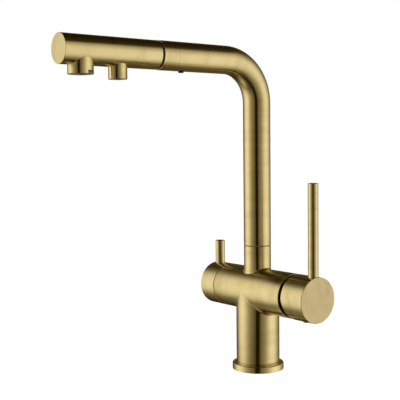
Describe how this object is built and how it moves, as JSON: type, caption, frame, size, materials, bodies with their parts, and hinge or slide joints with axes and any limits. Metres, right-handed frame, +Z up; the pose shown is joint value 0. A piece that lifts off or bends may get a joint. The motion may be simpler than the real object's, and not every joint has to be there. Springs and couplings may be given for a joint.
{
  "type": "kitchen tap",
  "caption": "Deck-mounted mixer tap with a pull-out spray head on a swivelling angled spout, side mixer lever and separate filtered-water lever and outlet.",
  "frame": {"origin": "middle of the base at deck level, centre of the two fixing studs", "axes": "+Z up, spout towards -Y, mixer handle at +X, filter handle at -X"},
  "size_m": [0.1546, 0.2477, 0.3254],
  "materials": {
    "antique_brass": "brushed antique brass, lacquered",
    "cast_brass": "machined brass",
    "black_plastic": "moulded, satin",
    "grey_plastic": "moulded, satin",
    "white_plastic": "moulded, satin",
    "blue_plastic": "moulded, satin",
    "ceramic": "lapped ceramic, modelled as a hard gloss",
    "rubber": "moulded seal",
    "ptfe": "bronze-filled PTFE, turned",
    "steel": "stainless",
    "hose_braid": "grey nylon braid over rubber"
  },
  "bodies": {
    "tap_body": {"base_ring": "antique_brass", "base_gasket": "rubber", "base_manifold": "cast_brass", "tap_body": "antique_brass", "cartridge_base": "white_plastic", "cartridge_port_seals": "rubber", "cartridge_fixed_disc": "ceramic", "cartridge_housing": "white_plastic", "cartridge_nut": "cast_brass", "trim_dome": "black_plastic", "filter_headwork": "cast_brass", "headwork_seal": "rubber", "filter_seat": "rubber", "filter_fixed_disc": "ceramic", "swivel_washer": "ptfe", "spout_lock_screw": "steel"},
    "spout": {"spout_spigot": "cast_brass", "swivel_slip_rings": "ptfe", "spout_tube": "antique_brass", "dock_sleeve": "black_plastic", "dock_screw": "black_plastic", "pull_hose": "hose_braid", "filter_hose": "white_plastic", "hose_ferrule": "steel"},
    "spray_head": {"head_shell": "antique_brass", "head_core": "white_plastic", "head_inlet": "black_plastic", "hose_nut": "cast_brass", "head_check_valves": "white_plastic", "aerator_housing": "grey_plastic", "aerator_insert": "grey_plastic", "aerator_gasket": "rubber", "filter_aerator_ring": "grey_plastic", "filter_aerator_insert": "grey_plastic", "filter_aerator_gasket": "rubber"},
    "mixer_carrier": {"cartridge_carrier": "blue_plastic", "stem_pin": "steel"},
    "moving_disc": {"cartridge_moving_disc": "ceramic", "disc_driver": "blue_plastic"},
    "mixer_handle": {"cartridge_stem": "steel", "mixer_handle": "antique_brass", "mixer_lever": "antique_brass", "handle_screw": "steel", "handle_screw_plug": "grey_plastic"},
    "filter_handle": {"filter_handle": "antique_brass", "filter_lever": "antique_brass", "filter_spindle": "cast_brass", "spindle_seal": "rubber", "filter_moving_disc": "ceramic"}
  },
  "joints": [
    {"name": "spout_swivel", "type": "hinge", "parent": "tap_body", "child": "spout", "pos_m": [0, 0, 0.115], "axis": [0, 0, 1], "range_deg": [-180, 180]},
    {"name": "head_pull", "type": "slide", "parent": "spout", "child": "spray_head", "axis": [0, -1, 0], "range_m": [0, 0.4], "deforming": ["pull_hose", "filter_hose"]},
    {"name": "mixer_temperature", "type": "hinge", "parent": "tap_body", "child": "mixer_carrier", "pos_m": [0.04, 0, 0.081], "axis": [1, 0, 0], "range_deg": [-50, 50]},
    {"name": "mixer_flow", "type": "hinge", "parent": "mixer_carrier", "child": "mixer_handle", "pos_m": [0.04, 0, 0.081], "axis": [0, 1, 0], "range_deg": [0, 16]},
    {"name": "disc_slide", "type": "slide", "parent": "mixer_carrier", "child": "moving_disc", "axis": [0, 0, 1], "range_m": [0, 0.0023]},
    {"name": "filter_turn", "type": "hinge", "parent": "tap_body", "child": "filter_handle", "pos_m": [-0.05, 0, 0.081], "axis": [1, 0, 0], "range_deg": [0, 90]}
  ],
  "couplings": [
    {"joint": "disc_slide", "follows": "mixer_flow", "m_per_rad": 0.008}
  ]
}
